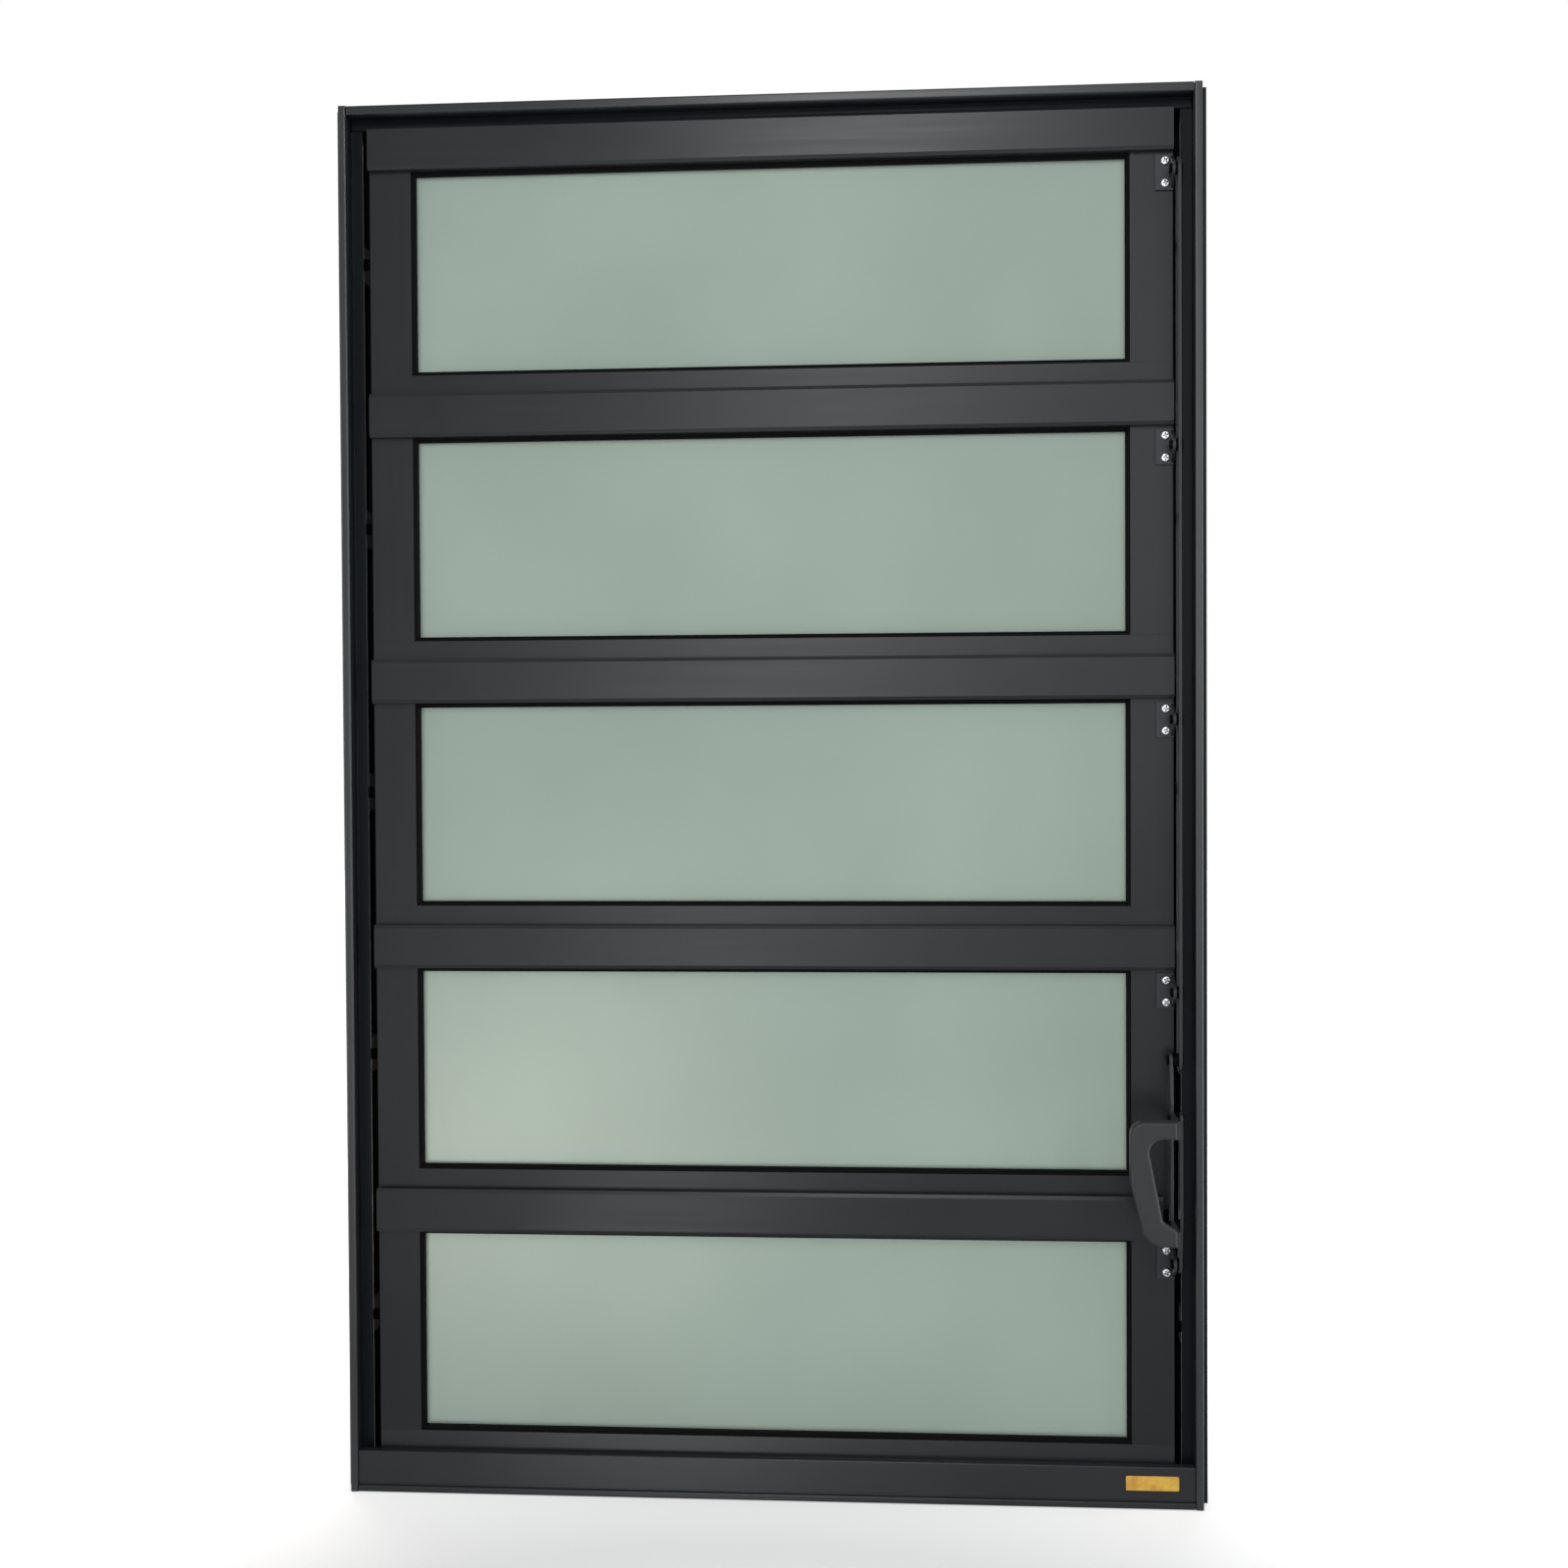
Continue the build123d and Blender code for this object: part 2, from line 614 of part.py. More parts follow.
def link_rivets():
    """Rivets of the linkage: at the brackets with play, at the lever tight."""
    head_x = ROD_X + BAR_T
    washer_x = EAR_X + BRACKET_T + RIVET_PLAY
    rivets = []
    for z in PIVOT_Z:
        loose = rivet(EAR_X - RIVET_PLAY, head_x, RIVET_Y, z + BRACKET_V)
        loose += rod_x(RIVET_HEAD_D, washer_x, ROD_X, RIVET_Y, z + BRACKET_V)
        rivets.append(loose)
    tight = [(RIVET_Y, ROD_END_Z)] + [(LEVER_Y, z) for z, height in grip_arms()]
    for y, z in tight:
        fixed = rivet(LEVER_X, head_x, y, z)
        fixed += rod_x(RIVET_HEAD_D, LEVER_X + BAR_T, ROD_X, y, z)
        rivets.append(fixed)
    return Compound(rivets)


def sash_nodes(number):
    """Pieces of one sash, placed on its pivot."""
    last = number == SASH_COUNT
    right_end = SHORT_RAIL_X if last else SASH_X
    right_stile = stile()
    pieces = {
        "top_rail": top_rail(right_end),
        "bottom_rail": bottom_rail(),
        "stile_right": right_stile,
        "stile_left": left_of(right_stile),
        "glass": glass(),
        "gasket": gasket(),
        "bracket": bracket(),
    }
    place = Pos(0, 0, PIVOT_Z[number - 1])
    return {f"sash_{number}_{name}": place * piece for name, piece in pieces.items()}


def window_nodes():
    """Every piece of the window by name."""
    right_jamb = jamb()
    nodes = {
        "frame_head": head(),
        "frame_sill": sill(),
        "frame_jamb_right": right_jamb,
        "frame_jamb_left": left_of(right_jamb),
        "jamb_seals": seals(),
        "pivot_blocks": pivot_blocks(),
        "connecting_rod": connecting_rod(),
        "lever_bar": lever_bar(),
        "lever_link": lever_link(),
        "handle_grip": grip(),
        "link_rivets": link_rivets(),
    }
    for number in range(1, SASH_COUNT + 1):
        nodes.update(sash_nodes(number))
    return nodes


for node, shape in window_nodes().items():
    export_step(shape, f"parts/{node}.step")
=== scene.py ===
import math

import bmesh
import bpy
from bpy.props import FloatProperty, FloatVectorProperty, PointerProperty
from mathutils import Matrix, Vector


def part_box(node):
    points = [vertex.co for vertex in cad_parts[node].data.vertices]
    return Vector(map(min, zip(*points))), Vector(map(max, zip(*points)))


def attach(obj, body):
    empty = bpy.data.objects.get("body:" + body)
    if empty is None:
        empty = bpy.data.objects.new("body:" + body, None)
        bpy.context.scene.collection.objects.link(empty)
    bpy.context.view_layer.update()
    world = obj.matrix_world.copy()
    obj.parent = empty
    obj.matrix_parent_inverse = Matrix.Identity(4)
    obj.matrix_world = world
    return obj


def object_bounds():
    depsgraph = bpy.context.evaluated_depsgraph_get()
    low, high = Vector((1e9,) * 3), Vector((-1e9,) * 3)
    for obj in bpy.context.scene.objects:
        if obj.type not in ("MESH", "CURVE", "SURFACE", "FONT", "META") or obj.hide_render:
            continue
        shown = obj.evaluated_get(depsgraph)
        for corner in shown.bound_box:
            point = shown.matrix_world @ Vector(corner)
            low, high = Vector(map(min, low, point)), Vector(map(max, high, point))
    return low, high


bl_info = {
    "name": "Pivot Window",
    "version": (1, 0, 0),
    "blender": (4, 5, 0),
    "location": "View3D > Sidebar > Window",
    "description": "Finishes, fasteners and studio for a window of linked pivoting sashes",
    "category": "Object",
}

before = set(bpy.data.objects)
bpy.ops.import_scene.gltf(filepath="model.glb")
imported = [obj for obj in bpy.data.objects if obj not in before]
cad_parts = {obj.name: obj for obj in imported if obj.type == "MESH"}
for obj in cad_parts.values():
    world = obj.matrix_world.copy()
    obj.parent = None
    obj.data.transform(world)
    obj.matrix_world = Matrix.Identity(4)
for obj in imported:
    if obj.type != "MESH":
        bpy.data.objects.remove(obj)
cad_low, cad_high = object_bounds()

SASHES = range(1, 6)
MM = 0.001

# Where the CAD carries the screws and the film
BRACKET_PLATE = 2.0 * MM
PLATE_FRONT_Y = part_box("sash_1_bracket")[1].y - BRACKET_PLATE
BRACKET_SCREW_X = 281.6 * MM
BRACKET_SCREW_OFF = 7.85 * MM
SILL_LIP = 1.0 * MM
SILL_PLATE_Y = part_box("frame_sill")[0].y + SILL_LIP

# The jambs' front, the depths behind it where painted shade in the recess begins and is full, and
# their outer faces, which keep the full coat without that shade
JAMB_LOW, JAMB_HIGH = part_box("frame_jamb_right")
RECESS_SHADE_STARTS = JAMB_LOW.y + 1.5 * MM
RECESS_SHADE_FULL = JAMB_LOW.y + 10.0 * MM
OUTER_SKIN = (0.9 * MM, 0.5 * MM)

# How strongly the coats shine, and how far their edges are rounded for the light
COAT_SPECULAR = 0.20
HEAD_SPECULAR = 0.30
JAMB_SPECULAR = 0.42
# Dull shine of the coat under the painted shade in the recess
RECESS_SHADE_SPECULAR = 0.07
RIVET_SPECULAR = 0.03
NYLON_SPECULAR = 0.01
BAR_EDGE = 0.3 * MM
HEAD_EDGE = 0.8 * MM
JAMB_EDGE = 1.0 * MM
GRIP_EDGE = 0.6 * MM
RIVET_ROUGH = 0.6
# How much paler the grip's edges are, for wear and as a painted highlight
GRIP_WEAR_AND_HIGHLIGHT = 1.3
SILL_LIFT = 0.16

# Stretch of the drawing lines
ALONG_BAR = (0.03, 1.0, 1.0)
UP_BAR = (1.0, 1.0, 0.03)
UP_ROD = (1.0, 1.0, 0.1)
EVEN = (1.0, 1.0, 1.0)

# Share of a screw head's height that is domed and that the recess is deep
DOME = 0.62
RECESS_TAPER = (0.7, 1.0, 0.8)
SMOOTH_BELOW = math.radians(35.0)

SENSOR_WIDTH = 36.0
FLOOR_SIZE = 14.0
FLOOR_DROP = 0.5 * MM
PANE_GLOW = (1.0, 0.72, 0.68)

# Name, place, aim, width and height, watts
LAMPS = (
    ("high box", (0.03, -1.8, 1.55), (0.02, 0.0, 0.5), (0.36, 0.45), 8.6),
    ("middle box", (0.0, -1.8, 0.9), (0.0, 0.0, 0.5), (0.3, 0.9), 5.0),
    ("low box", (-0.24, -1.8, 0.45), (-0.1, 0.0, 0.5), (0.3, 0.85), 5.2),
    ("side front box", (0.6, -1.8, 0.85), (0.24, 0.0, 0.5), (0.3, 0.9), 2.2),
    ("floor box", (-0.16, -0.6, 0.055), (-0.08, 0.0, 0.2), (0.22, 0.08), 0.34),
    ("left box", (-1.3, -0.25, 0.5), (0.0, 0.0, 0.5), (0.3, 1.0), 5.5),
    ("right box", (1.3, -0.25, 0.5), (0.0, 0.0, 0.5), (0.3, 1.0), 8.0),
    ("back box", (0.1, 1.3, 1.7), (0.1, 0.6, 0.0), (1.6, 0.8), 12.0),
    ("rim box", (1.0, -1.2, 0.52), (0.3, 0.0, 0.5), (0.14, 0.7), 2.0),
    ("left pane box", (-0.95, 1.0, 0.55), (-0.3, 0.0, 0.5), (0.4, 1.1), 3.6),
    ("pane box", (-0.5, 0.4, 0.15), (-0.3, 0.0, 0.18), (0.9, 0.28), 1.2),
)


def colour(name, description, default):
    """A colour that the panel offers."""
    return FloatVectorProperty(
        name=name, description=description, default=default, min=0.0, max=1.0, size=3, subtype="COLOR"
    )


def share(name, description, default):
    """A value from 0 to 1 that the panel offers."""
    return FloatProperty(
        name=name, description=description, default=default, min=0.0, max=1.0, subtype="FACTOR"
    )


def length(name, description, default):
    """A length that the panel offers."""
    return FloatProperty(
        name=name, description=description, default=default, min=0.0, unit="LENGTH", precision=5
    )


def angle(name, description, degrees):
    """An angle that the panel offers."""
    return FloatProperty(
        name=name, description=description, default=math.radians(degrees), subtype="ANGLE"
    )


class FinishSettings(bpy.types.PropertyGroup):
    coat: colour("Coat", "Baked coat on the aluminium of frame and sashes", (0.0104, 0.0122, 0.0140))
    coat_rough: share("Coat roughness", "How far the coat spreads a highlight", 0.30)
    # Painted shade: the colour the coat darkens to deep in the recess round the sashes
    recess: colour("Recess", "Coat in the shaded recess round the sashes", (0.0042, 0.0062, 0.0082))
    link: colour("Link steel", "Painted steel of rod, lever and brackets", (0.020, 0.022, 0.024))
    link_rough: share("Link roughness", "How far the steel's paint spreads a highlight", 0.34)
    grip: colour("Grip", "Cast grip of the handle", (0.0205, 0.0222, 0.0234))
    grip_rough: share("Grip roughness", "How far the grip's paint spreads a highlight", 0.42)
    pane: colour("Pane", "Body colour of the frosted pane", (0.332, 0.410, 0.361))
    pane_clear: share("Pane transmission", "Share of the light that passes the pane", 0.5)
    rivet: colour("Rivet", "Blackened steel of the rivets", (0.0022, 0.0022, 0.0024))
    rubber: colour("Rubber", "Gaskets and seals", (0.0008, 0.0008, 0.0009))
    nylon: colour("Nylon", "Pivot blocks", (0.0009, 0.0009, 0.0010))
    zinc: colour("Zinc", "Plating of the bracket screws", (0.52, 0.54, 0.57))
    label: colour("Label", "Blank film on the sill", (0.53, 0.32, 0.045))


class ScrewSettings(bpy.types.PropertyGroup):
    head: length("Head", "Diameter of the pan head", 6.2 * MM)
    height: length("Head height", "Height of the pan head", 2.0 * MM)
    shank: length("Shank", "Diameter of the shank", 3.1 * MM)
    reach: length("Reach", "Length of the shank", 5.0 * MM)
    recess: length("Recess", "Length of a slot of the cross recess", 4.5 * MM)
    slot: length("Slot", "Width of a slot of the cross recess", 1.3 * MM)


class LabelSettings(bpy.types.PropertyGroup):
    width: length("Label width", "Width of the film on the sill", 37.1 * MM)
    height: length("Label height", "Height of the film on the sill", 10.3 * MM)
    thick: length("Label thickness", "Thickness of the film on the sill", 0.12 * MM)
    corner: length("Label corner", "Radius of the film's corners", 1.0 * MM)
    across: length("Label place", "From the window's middle to the film's middle", 270.2 * MM)
    above: length("Label level", "From the window's foot to the film's middle", 18.1 * MM)


class StudioSettings(bpy.types.PropertyGroup):
    lens: FloatProperty(name="Lens", description="Focal length in millimetres", default=45.0, min=1.0)
    eye: FloatVectorProperty(
        name="Eye",
        description="Place of the camera",
        default=(0.1128, -1.4095, 0.540),
        subtype="XYZ",
        unit="LENGTH",
    )
    yaw: angle("Yaw", "Turn to the right", -4.15)
    pitch: angle("Pitch", "Tilt upwards", -1.12)
    roll: angle("Roll", "Turn about the view", -0.30)
    floor: colour("Floor", "Pale floor", (0.80, 0.80, 0.80))
    sky: FloatProperty(
        name="Room light", description="Light of the room on the object", default=0.18, min=0.0
    )


def settings():
    """The finishes chosen in the panel."""
    return bpy.context.scene.window_finish


def link(tree, source, target):
    """Lead a node's output to another's input."""
    tree.links.new(source, target)


def combined(tree, operation, *sources):
    """Result of one math step on one or two outputs."""
    node = tree.nodes.new("ShaderNodeMath")
    node.operation = operation
    for source, socket in zip(sources, node.inputs):
        link(tree, source, socket)
    return node.outputs[0]


def new_finish(name, base, rough, specular=0.5, metallic=0.0):
    """A material with one main shader; returns it with its tree and shader."""
    material = bpy.data.materials.new(name)
    material.use_nodes = True
    material.diffuse_color = (*base, 1.0)
    tree = material.node_tree
    shader = tree.nodes["Principled BSDF"]
    shader.inputs["Base Color"].default_value = (*base, 1.0)
    shader.inputs["Roughness"].default_value = rough
    shader.inputs["Specular IOR Level"].default_value = specular
    shader.inputs["Metallic"].default_value = metallic
    return material, tree, shader


def own_place(tree):
    """The surface point in the object's own coordinates."""
    return tree.nodes.new("ShaderNodeTexCoord").outputs["Object"]


def noise(tree, scale, detail=2.0, stretch=EVEN):
    """Noise on the object's own coordinates, stretched along the given axes."""
    mapping = tree.nodes.new("ShaderNodeMapping")
    mapping.inputs["Scale"].default_value = stretch
    texture = tree.nodes.new("ShaderNodeTexNoise")
    texture.inputs["Scale"].default_value = scale
    texture.inputs["Detail"].default_value = detail
    link(tree, own_place(tree), mapping.inputs["Vector"])
    link(tree, mapping.outputs["Vector"], texture.inputs["Vector"])
    return texture.outputs["Fac"]


def remap(tree, source, low, high, start=0.35, stop=0.65):
    """Source from start to stop, spread over low to high."""
    spread = tree.nodes.new("ShaderNodeMapRange")
    spread.inputs["From Min"].default_value = start
    spread.inputs["From Max"].default_value = stop
    spread.inputs["To Min"].default_value = low
    spread.inputs["To Max"].default_value = high
    link(tree, source, spread.inputs["Value"])
    return spread.outputs["Result"]


def tint(tree, shader, base, pattern, change):
    """Vary the base colour by a pattern, up to change times itself."""
    mix = tree.nodes.new("ShaderNodeMix")
    mix.data_type = "RGBA"
    mix.inputs["A"].default_value = (*base, 1.0)
    mix.inputs["B"].default_value = (*[min(1.0, c * change) for c in base], 1.0)
    link(tree, remap(tree, pattern, 0.0, 1.0), mix.inputs["Factor"])
    link(tree, mix.outputs["Result"], shader.inputs["Base Color"])


def blend(tree, shader, factor, colour_to):
    """Lead the base colour over to another by a factor."""
    mix = tree.nodes.new("ShaderNodeMix")
    mix.data_type = "RGBA"
    mix.inputs["B"].default_value = (*colour_to, 1.0)
    link(tree, factor, mix.inputs["Factor"])
    link(tree, shader.inputs["Base Color"].links[0].from_socket, mix.inputs["A"])
    link(tree, mix.outputs["Result"], shader.inputs["Base Color"])


def bump(tree, shader, height, distance, strength, normal=None):
    """Relief of the given height on the shader's normals."""
    node = tree.nodes.new("ShaderNodeBump")
    node.inputs["Strength"].default_value = strength
    node.inputs["Distance"].default_value = distance
    link(tree, height, node.inputs["Height"])
    if normal is not None:
        link(tree, normal, node.inputs["Normal"])
    link(tree, node.outputs["Normal"], shader.inputs["Normal"])


def soft_edges(tree, radius):
    """Normals rounded at the edges, so that they catch the light."""
    node = tree.nodes.new("ShaderNodeBevel")
    node.samples = 4
    node.inputs["Radius"].default_value = radius
    return node.outputs["Normal"]


def tilted(tree, normal, lift):
    """Normals leaning upwards by the given slope, as on a crowned face."""
    lean = tree.nodes.new("ShaderNodeVectorMath")
    lean.operation = "ADD"
    lean.inputs[1].default_value = (0.0, 0.0, lift)
    level = tree.nodes.new("ShaderNodeVectorMath")
    level.operation = "NORMALIZE"
    link(tree, normal, lean.inputs[0])
    link(tree, lean.outputs["Vector"], level.inputs[0])
    return level.outputs["Vector"]


def wear_and_highlight_edges(tree, shader, rounded, paler):
    """Thinner, paler coat along the edges in patches, as wear and also as a painted highlight where
    rounded edges catch the light.
    """
    surface = tree.nodes.new("ShaderNodeNewGeometry")
    flat = tree.nodes.new("ShaderNodeVectorMath")
    flat.operation = "DOT_PRODUCT"
    link(tree, rounded, flat.inputs[0])
    link(tree, surface.outputs["True Normal"], flat.inputs[1])
    edge = remap(tree, flat.outputs["Value"], 1.0, 0.0, start=0.78, stop=0.97)
    patch = remap(tree, noise(tree, scale=45.0, detail=3.0), 0.35, 1.0)
    blend(tree, shader, combined(tree, "MULTIPLY", edge, patch), paler)


def paint_recess_shade(tree, shader, base, specular):
    """Painted shade: darker and duller coat behind the rim, by depth, but not on the outer faces."""
    axes = tree.nodes.new("ShaderNodeSeparateXYZ")
    link(tree, own_place(tree), axes.inputs[0])
    shade = remap(tree, axes.outputs["Y"], 0.0, 1.0, RECESS_SHADE_STARTS, RECESS_SHADE_FULL)
    outer_faces = (
        (combined(tree, "ABSOLUTE", axes.outputs["X"]), JAMB_HIGH.x),
        (axes.outputs["Y"], JAMB_HIGH.y),
        (axes.outputs["Z"], cad_high.z),
    )
    for place, face in outer_faces:
        inside = remap(tree, place, 1.0, 0.0, face - OUTER_SKIN[0], face - OUTER_SKIN[1])
        shade = combined(tree, "MULTIPLY", shade, inside)
    blend(tree, shader, shade, base)
    level = remap(tree, shade, specular, RECESS_SHADE_SPECULAR, 0.0, 1.0)
    link(tree, level, shader.inputs["Specular IOR Level"])


def coated_metal(
    name, base, rough, stretch, edge=BAR_EDGE, recess=None, specular=COAT_SPECULAR, edge_wear_and_highlight=2.4, lift=0.0
):
    """Baked coat: fine orange peel, drawing lines along the bar, faint clouding."""
    material, tree, shader = new_finish(name, base, rough, specular)
    lines = noise(tree, scale=240.0, stretch=stretch)
    link(tree, remap(tree, lines, rough - 0.015, rough + 0.02), shader.inputs["Roughness"])
    tint(tree, shader, base, noise(tree, scale=14.0, detail=3.0), change=1.25)
    rounded = soft_edges(tree, edge)
    # With a recess colour, painted shade darkens the recess; otherwise the edges turn paler, for wear
    # and as a painted highlight
    if recess is not None:
        paint_recess_shade(tree, shader, recess, specular)
    else:
        wear_and_highlight_edges(tree, shader, rounded, [c * edge_wear_and_highlight for c in base])
    peel = noise(tree, scale=1400.0)
    bump(tree, shader, peel, 0.012 * MM, strength=0.5, normal=tilted(tree, rounded, lift))
    return material


def frosted_pane(name, base, clear):
    """Frosted glass: a cloudy body with a fine pebbled face."""
    material, tree, shader = new_finish(name, base, rough=0.55, specular=0.12)
    shader.inputs["Transmission Weight"].default_value = clear
    shader.inputs["IOR"].default_value = 1.45
    tint(tree, shader, base, noise(tree, scale=5.0), change=1.10)
    bump(tree, shader, noise(tree, scale=900.0), 0.05 * MM, strength=0.6)
    return material


def rubber(name, base, specular=0.06):
    """Dull rubber or nylon with a fine grain, dusted in patches."""
    material, tree, shader = new_finish(name, base, rough=0.62, specular=specular)
    bump(tree, shader, noise(tree, scale=1100.0, detail=3.0), 0.02 * MM, strength=0.5)
    tint(tree, shader, base, noise(tree, scale=60.0), change=1.5)
    return material


def zinc_plate(name, base):
    """Bright plating, uneven in its shine, with painted shade darkening its hollows."""
    material, tree, shader = new_finish(name, base, rough=0.28, metallic=1.0)
    link(tree, remap(tree, noise(tree, 900.0, 3.0), 0.20, 0.36), shader.inputs["Roughness"])
    tint(tree, shader, base, noise(tree, scale=350.0), change=0.8)
    hollow = tree.nodes.new("ShaderNodeAmbientOcclusion")
    hollow.samples = 8
    hollow.only_local = True
    hollow.inputs["Distance"].default_value = 1.6 * MM
    hollow_shade = remap(tree, hollow.outputs["AO"], 1.0, 0.0, start=0.45, stop=0.92)
    # Painted shade: the plating turns dark where its own hollows, such as the cross recess, are shaded
    blend(tree, shader, hollow_shade, (0.04, 0.045, 0.055))
    return material


def label_film(name, base):
    """Amber film, mottled and rubbed darker in patches."""
    material, tree, shader = new_finish(name, base, rough=0.35, specular=0.4)
    tint(tree, shader, base, noise(tree, scale=260.0, detail=3.0), change=1.25)
    rubbed = remap(tree, noise(tree, scale=95.0), 0.0, 0.6, start=0.45, stop=0.7)
    blend(tree, shader, rubbed, (base[0] * 0.8, base[1] * 0.55, base[2] * 0.6))
    bump(tree, shader, noise(tree, scale=500.0), 0.01 * MM, strength=0.4)
    return material


def seen_rays(tree):
    """1 for rays that show the surface itself: from the camera, mirrored or through glass."""
    path = tree.nodes.new("ShaderNodeLightPath")
    total = path.outputs["Is Camera Ray"]
    for name in ("Is Glossy Ray", "Is Transmission Ray"):
        total = combined(tree, "MAXIMUM", total, path.outputs[name])
    return total


def dress(material, *names):
    """Give the CAD nodes this one material."""
    for name in names:
        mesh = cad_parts[name].data
        mesh.materials.clear()
        mesh.materials.append(material)


def start_piece():
    """Object mode with nothing selected, before a primitive is added."""
    if bpy.context.object and bpy.context.object.mode != "OBJECT":
        bpy.ops.object.mode_set(mode="OBJECT")
    bpy.ops.object.select_all(action="DESELECT")


def choose(piece):
    """Select this piece alone and make it active."""
    start_piece()
    piece.select_set(True)
    bpy.context.view_layer.objects.active = piece


def pick(test, kind="faces"):
    """Select in edit mode the faces or edges that pass the test, and nothing else."""
    piece = bpy.context.object
    bpy.ops.mesh.select_mode(type="FACE" if kind == "faces" else "EDGE")
    bpy.ops.mesh.select_all(action="DESELECT")
    shape = bmesh.from_edit_mesh(piece.data)
    for part in getattr(shape, kind):
        if test(part):
            part.select_set(True)
    bmesh.update_edit_mesh(piece.data)


def finish_piece(piece, name, material):
    """Move the piece's place, turn and size into its mesh, name it and give it its material."""
    choose(piece)
    bpy.ops.object.transform_apply(location=True, rotation=True, scale=True)
    piece.name = name
    piece.data.name = name
    piece.data.materials.clear()
    piece.data.materials.append(material)


def copy_piece(piece, name, move):
    """Copy with a mesh of its own, moved inside its mesh."""
    other = piece.copy()
    other.data = piece.data.copy()
    other.data.transform(move)
    other.name = name
    other.data.name = name
    bpy.context.scene.collection.objects.link(other)
    return other


def cut(piece, cutter):
    """Take the cutter out of the piece."""
    choose(piece)
    step = piece.modifiers.new("cut", "BOOLEAN")
    step.operation = "DIFFERENCE"
    step.solver = "EXACT"
    step.object = cutter
    bpy.ops.object.modifier_apply(modifier=step.name)
    bpy.data.objects.remove(cutter)


class WINDOW_OT_studio(bpy.types.Operator):
    """Camera, lights, pale floor and white room"""

    bl_idname = "window.studio"
    bl_label = "Studio"

    def execute(self, context):
        studio = context.scene.window_studio
        self.camera(context, studio)
        self.lights()
        self.floor(studio)
        self.room(context, studio)
        return {"FINISHED"}

    def camera(self, context, studio):
        """Camera turned by yaw, pitch and roll from looking along +Y."""
        start_piece()
        bpy.ops.object.camera_add(location=studio.eye)
        camera = context.object
        camera.data.lens = studio.lens
        camera.data.sensor_width = SENSOR_WIDTH
        level = math.cos(studio.pitch)
        sideways, forwards = math.sin(studio.yaw), math.cos(studio.yaw)
        across = Vector((forwards, -sideways, 0.0))
        ahead = Vector((sideways * level, forwards * level, math.sin(studio.pitch)))
        up = across.cross(ahead)
        turned = across * math.cos(studio.roll) + up * math.sin(studio.roll)
        above = up * math.cos(studio.roll) - across * math.sin(studio.roll)
        axes = Matrix((turned, above, -ahead)).transposed()
        camera.matrix_world = Matrix.Translation(studio.eye) @ axes.to_4x4()
        context.scene.camera = camera

    def softbox(self, name, place, aim, size, watts):
        """Rectangular lamp from its place to its aim, in the glass only if it is behind the window."""
        start_piece()
        bpy.ops.object.light_add(type="AREA", location=place)
        lamp = bpy.context.object
        lamp.name = name
        lamp.data.shape = "RECTANGLE"
        lamp.data.size, lamp.data.size_y = size
        lamp.data.energy = watts
        ray = Vector(aim) - Vector(place)
        lamp.rotation_mode = "QUATERNION"
        lamp.rotation_quaternion = ray.to_track_quat("-Z", "Y")
        lamp.visible_camera = False
        lamp.visible_transmission = place[1] > 0.0
        return lamp

    def lights(self):
        """All lamps; the back one lights the floor and stays out of the glass."""
        lamps = {name: self.softbox(name, *rest) for name, *rest in LAMPS}
        lamps["floor box"].visible_diffuse = False
        lamps["back box"].visible_transmission = False
        lamps["pane box"].data.color = PANE_GLOW

    def floor(self, studio):
        """Pale floor that glows to the camera, in mirrors and through glass, more with distance from
        just before the window: white at a distance and a little grey just before it; its glow is
        painted light on the metal and through the panes.
        """
        start_piece()
        bpy.ops.mesh.primitive_plane_add(size=FLOOR_SIZE, location=(0.0, 0.0, -FLOOR_DROP))
        ground = bpy.context.object
        ground.name = "studio_floor"
        material, tree, shader = new_finish("pale floor", studio.floor, rough=0.7, specular=0.1)
        away = tree.nodes.new("ShaderNodeVectorMath")
        away.operation = "DISTANCE"
        away.inputs[1].default_value = (0.0, -0.55, 0.0)
        link(tree, own_place(tree), away.inputs[0])
        glow = remap(tree, away.outputs["Value"], 0.22, 0.97, start=0.45, stop=1.0)
        strength = combined(tree, "MULTIPLY", seen_rays(tree), glow)
        shader.inputs["Emission Color"].default_value = (1.0, 1.0, 1.0, 1.0)
        link(tree, strength, shader.inputs["Emission Strength"])
        ground.data.materials.append(material)

    def room(self, context, studio):
        """White where it is seen, and of the chosen strength on the object."""
        world = bpy.data.worlds.new("white room")
        context.scene.world = world
        world.use_nodes = True
        tree = world.node_tree
        background = tree.nodes["Background"]
        background.inputs["Color"].default_value = (1.0, 1.0, 1.0, 1.0)
        strength = remap(tree, seen_rays(tree), studio.sky, 1.0, start=0.0, stop=1.0)
        link(tree, strength, background.inputs["Strength"])


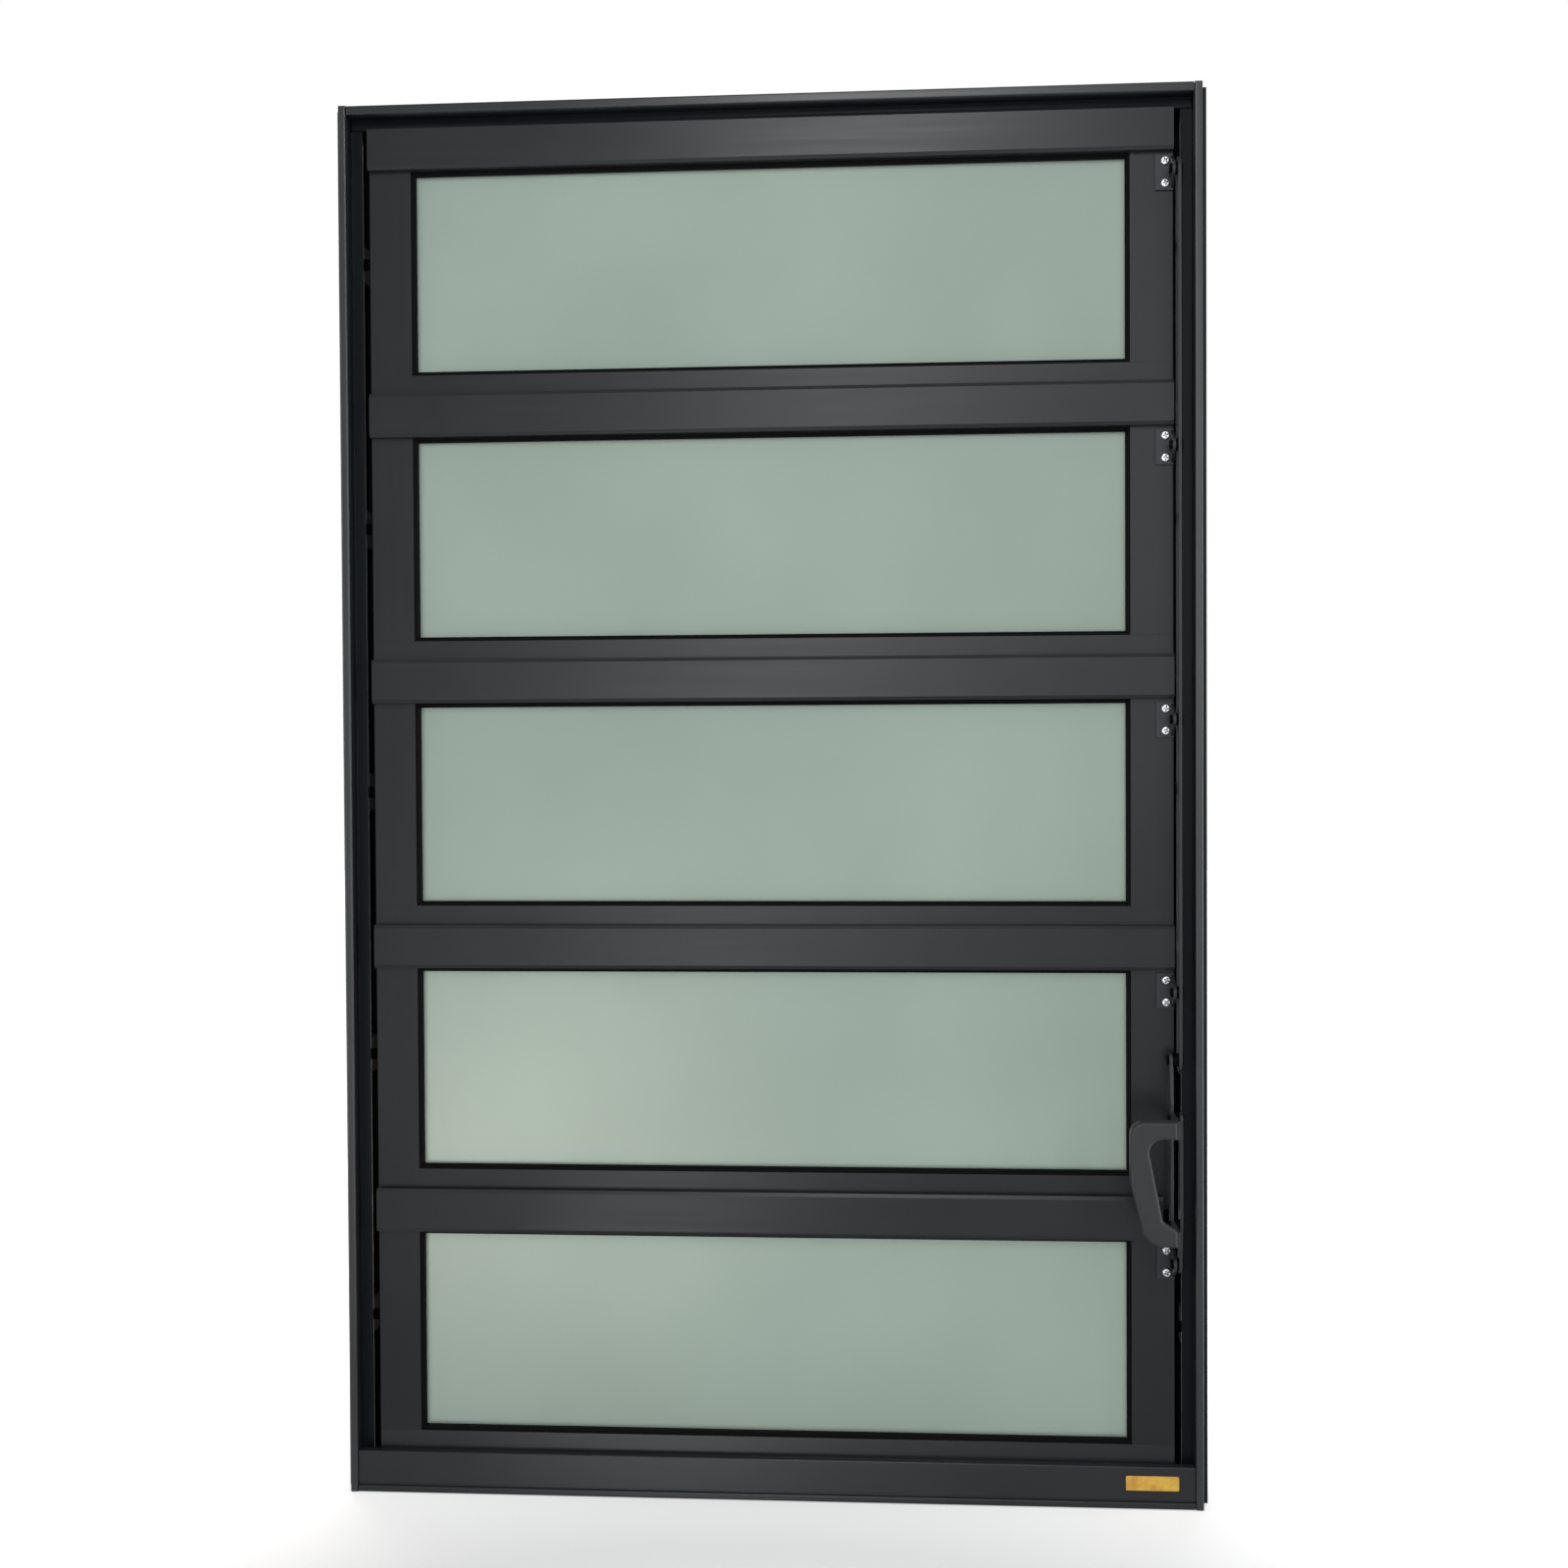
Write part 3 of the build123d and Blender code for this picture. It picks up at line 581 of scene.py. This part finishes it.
class WINDOW_OT_aluminium(bpy.types.Operator):
    """Coated aluminium on the frame and on every sash"""

    bl_idname = "window.aluminium"
    bl_label = "Coated aluminium"

    def execute(self, context):
        finish = settings()
        coat = (finish.coat, finish.coat_rough)
        across = coated_metal("coated rail", *coat, ALONG_BAR)
        upright = coated_metal("coated stile", *coat, UP_BAR)
        # Head and jambs take painted shade in their recess
        head = coated_metal("coated head", *coat, ALONG_BAR, HEAD_EDGE, finish.recess, HEAD_SPECULAR)
        jamb = coated_metal("coated jamb", *coat, UP_BAR, JAMB_EDGE, finish.recess, JAMB_SPECULAR)
        sill = coated_metal("coated sill", *coat, ALONG_BAR, lift=SILL_LIFT)
        dress(head, "frame_head")
        dress(jamb, "frame_jamb_left", "frame_jamb_right")
        for number in SASHES:
            dress(across, f"sash_{number}_top_rail", f"sash_{number}_bottom_rail")
            dress(upright, f"sash_{number}_stile_left", f"sash_{number}_stile_right")
        dress(sill, "frame_sill", "sash_5_bottom_rail")
        return {"FINISHED"}


class WINDOW_OT_panes(bpy.types.Operator):
    """Frosted panes with their black gaskets, and the jambs' seals"""

    bl_idname = "window.panes"
    bl_label = "Panes and rubber"

    def execute(self, context):
        finish = settings()
        pane = frosted_pane("frosted pane", finish.pane, finish.pane_clear)
        black = rubber("black rubber", finish.rubber)
        dress(black, "jamb_seals")
        for number in SASHES:
            dress(pane, f"sash_{number}_glass")
            dress(black, f"sash_{number}_gasket")
        return {"FINISHED"}


class WINDOW_OT_linkage(bpy.types.Operator):
    """Painted steel of rod, lever and brackets, black rivets, cast grip and nylon pivots"""

    bl_idname = "window.linkage"
    bl_label = "Linkage"

    def execute(self, context):
        finish = settings()
        steel = coated_metal("painted steel", finish.link, finish.link_rough, UP_ROD)
        rivet = coated_metal("black rivet", finish.rivet, RIVET_ROUGH, EVEN, specular=RIVET_SPECULAR)
        grip = coated_metal(
            "cast grip", finish.grip, finish.grip_rough, EVEN, GRIP_EDGE, edge_wear_and_highlight=GRIP_WEAR_AND_HIGHLIGHT
        )
        dress(steel, "connecting_rod", "lever_bar", "lever_link")
        dress(steel, *[f"sash_{number}_bracket" for number in SASHES])
        dress(rivet, "link_rivets")
        dress(grip, "handle_grip")
        dress(rubber("black nylon", finish.nylon, NYLON_SPECULAR), "pivot_blocks")
        return {"FINISHED"}


class WINDOW_OT_bracket_screws(bpy.types.Operator):
    """Zinc-plated pan-head screws with a cross recess, two in each bracket"""

    bl_idname = "window.bracket_screws"
    bl_label = "Bracket screws"

    def execute(self, context):
        first = self.screw(context.scene.window_screw, zinc_plate("zinc plate", settings().zinc))
        for number in SASHES:
            low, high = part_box(f"sash_{number}_bracket")
            rivet_z = (low.z + high.z) / 2
            for level, side in (("upper", 1), ("lower", -1)):
                place = (BRACKET_SCREW_X, PLATE_FRONT_Y, rivet_z + side * BRACKET_SCREW_OFF)
                turn = math.radians(20.0 * number + 35.0 * side)
                move = Matrix.Translation(place) @ Matrix.Rotation(turn, 4, "Y")
                piece = copy_piece(first, f"bracket_screw_{number}_{level}", move)
                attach(piece, f"sash_{number}")
        bpy.data.objects.remove(first)
        return {"FINISHED"}

    def screw(self, sizes, material):
        """One screw with its head's underside at the origin and its head towards -Y."""
        start_piece()
        bpy.ops.mesh.primitive_cylinder_add(
            vertices=40,
            radius=sizes.head / 2,
            depth=sizes.height,
            location=(0.0, -sizes.height / 2, 0.0),
            rotation=(math.pi / 2, 0.0, 0.0),
        )
        piece = bpy.context.object
        bpy.ops.object.transform_apply(location=True, rotation=True, scale=True)
        bpy.ops.object.mode_set(mode="EDIT")
        face_y = -sizes.height
        pick(lambda e: all(abs(v.co.y - face_y) < 1e-6 for v in e.verts), "edges")
        bpy.ops.mesh.bevel(offset=sizes.height * DOME, segments=6, profile=0.55)
        pick(lambda f: f.normal.y > 0.9 and abs(f.calc_center_median().y) < 1e-6)
        bpy.ops.mesh.inset(thickness=(sizes.head - sizes.shank) / 2, depth=0.0)
        bpy.ops.mesh.extrude_region_move(TRANSFORM_OT_translate={"value": (0.0, sizes.reach, 0.0)})
        bpy.ops.object.mode_set(mode="OBJECT")
        for turn in (0.0, math.pi / 2):
            cut(piece, self.slot_cutter(sizes, turn))
        bpy.ops.object.shade_smooth_by_angle(angle=SMOOTH_BELOW)
        finish_piece(piece, "bracket_screw", material)
        return piece

    def slot_cutter(self, sizes, turn):
        """One slot of the cross recess, narrowing towards its floor."""
        start_piece()
        depth = sizes.height * DOME
        bpy.ops.mesh.primitive_cube_add(size=1.0, location=(0.0, -sizes.height, 0.0))
        tool = bpy.context.object
        tool.scale = (sizes.recess, depth * 2, sizes.slot)
        bpy.ops.object.transform_apply(location=True, rotation=False, scale=True)
        bpy.ops.object.mode_set(mode="EDIT")
        pick(lambda f: f.normal.y > 0.9)
        floor = (0.0, depth - sizes.height, 0.0)
        bpy.ops.transform.resize(value=RECESS_TAPER, center_override=floor)
        bpy.ops.object.mode_set(mode="OBJECT")
        tool.rotation_euler.y = turn
        bpy.ops.object.transform_apply(location=True, rotation=True, scale=True)
        return tool


class WINDOW_OT_label(bpy.types.Operator):
    """Blank amber film stuck on the sill's front plate"""

    bl_idname = "window.label"
    bl_label = "Sill label"

    def execute(self, context):
        sizes = context.scene.window_label
        start_piece()
        middle = (sizes.across, SILL_PLATE_Y - sizes.thick / 2, sizes.above)
        bpy.ops.mesh.primitive_cube_add(size=1.0, location=middle)
        film = bpy.context.object
        film.scale = (sizes.width, sizes.thick, sizes.height)
        bpy.ops.object.transform_apply(location=False, rotation=False, scale=True)
        bpy.ops.object.mode_set(mode="EDIT")
        pick(lambda e: abs(e.verts[0].co.y - e.verts[1].co.y) > sizes.thick / 2, "edges")
        bpy.ops.mesh.bevel(offset=sizes.corner, segments=5)
        bpy.ops.object.mode_set(mode="OBJECT")
        finish_piece(film, "sill_label", label_film("amber film", settings().label))
        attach(film, "frame")
        return {"FINISHED"}


class WINDOW_PT_panel(bpy.types.Panel):
    """Sizes, colours and steps of the window"""

    bl_idname = "WINDOW_PT_panel"
    bl_label = "Pivot Window"
    bl_space_type = "VIEW_3D"
    bl_region_type = "UI"
    bl_category = "Window"

    def draw(self, context):
        layout = self.layout
        for step in STEPS:
            layout.operator(step.bl_idname)
        for title in GROUPS:
            group = getattr(context.scene, title)
            box = layout.box()
            for name in group.bl_rna.properties.keys():
                if name not in ("name", "rna_type"):
                    box.prop(group, name)


STEPS = (
    WINDOW_OT_studio,
    WINDOW_OT_aluminium,
    WINDOW_OT_panes,
    WINDOW_OT_linkage,
    WINDOW_OT_bracket_screws,
    WINDOW_OT_label,
)
GROUPS = {
    "window_finish": FinishSettings,
    "window_screw": ScrewSettings,
    "window_label": LabelSettings,
    "window_studio": StudioSettings,
}


def register():
    for group in GROUPS.values():
        bpy.utils.register_class(group)
    for step in STEPS:
        bpy.utils.register_class(step)
    bpy.utils.register_class(WINDOW_PT_panel)
    for name, group in GROUPS.items():
        setattr(bpy.types.Scene, name, PointerProperty(type=group))


def unregister():
    for name in GROUPS:
        delattr(bpy.types.Scene, name)
    bpy.utils.unregister_class(WINDOW_PT_panel)
    for step in reversed(STEPS):
        bpy.utils.unregister_class(step)
    for group in GROUPS.values():
        bpy.utils.unregister_class(group)


def main():
    register()
    bpy.context.scene.view_settings.view_transform = "Standard"
    bpy.ops.window.studio()
    bpy.ops.window.aluminium()
    bpy.ops.window.panes()
    bpy.ops.window.linkage()
    bpy.ops.window.bracket_screws()
    bpy.ops.window.label()
    bpy.context.view_layer.update()


if __name__ == "__main__":
    main()
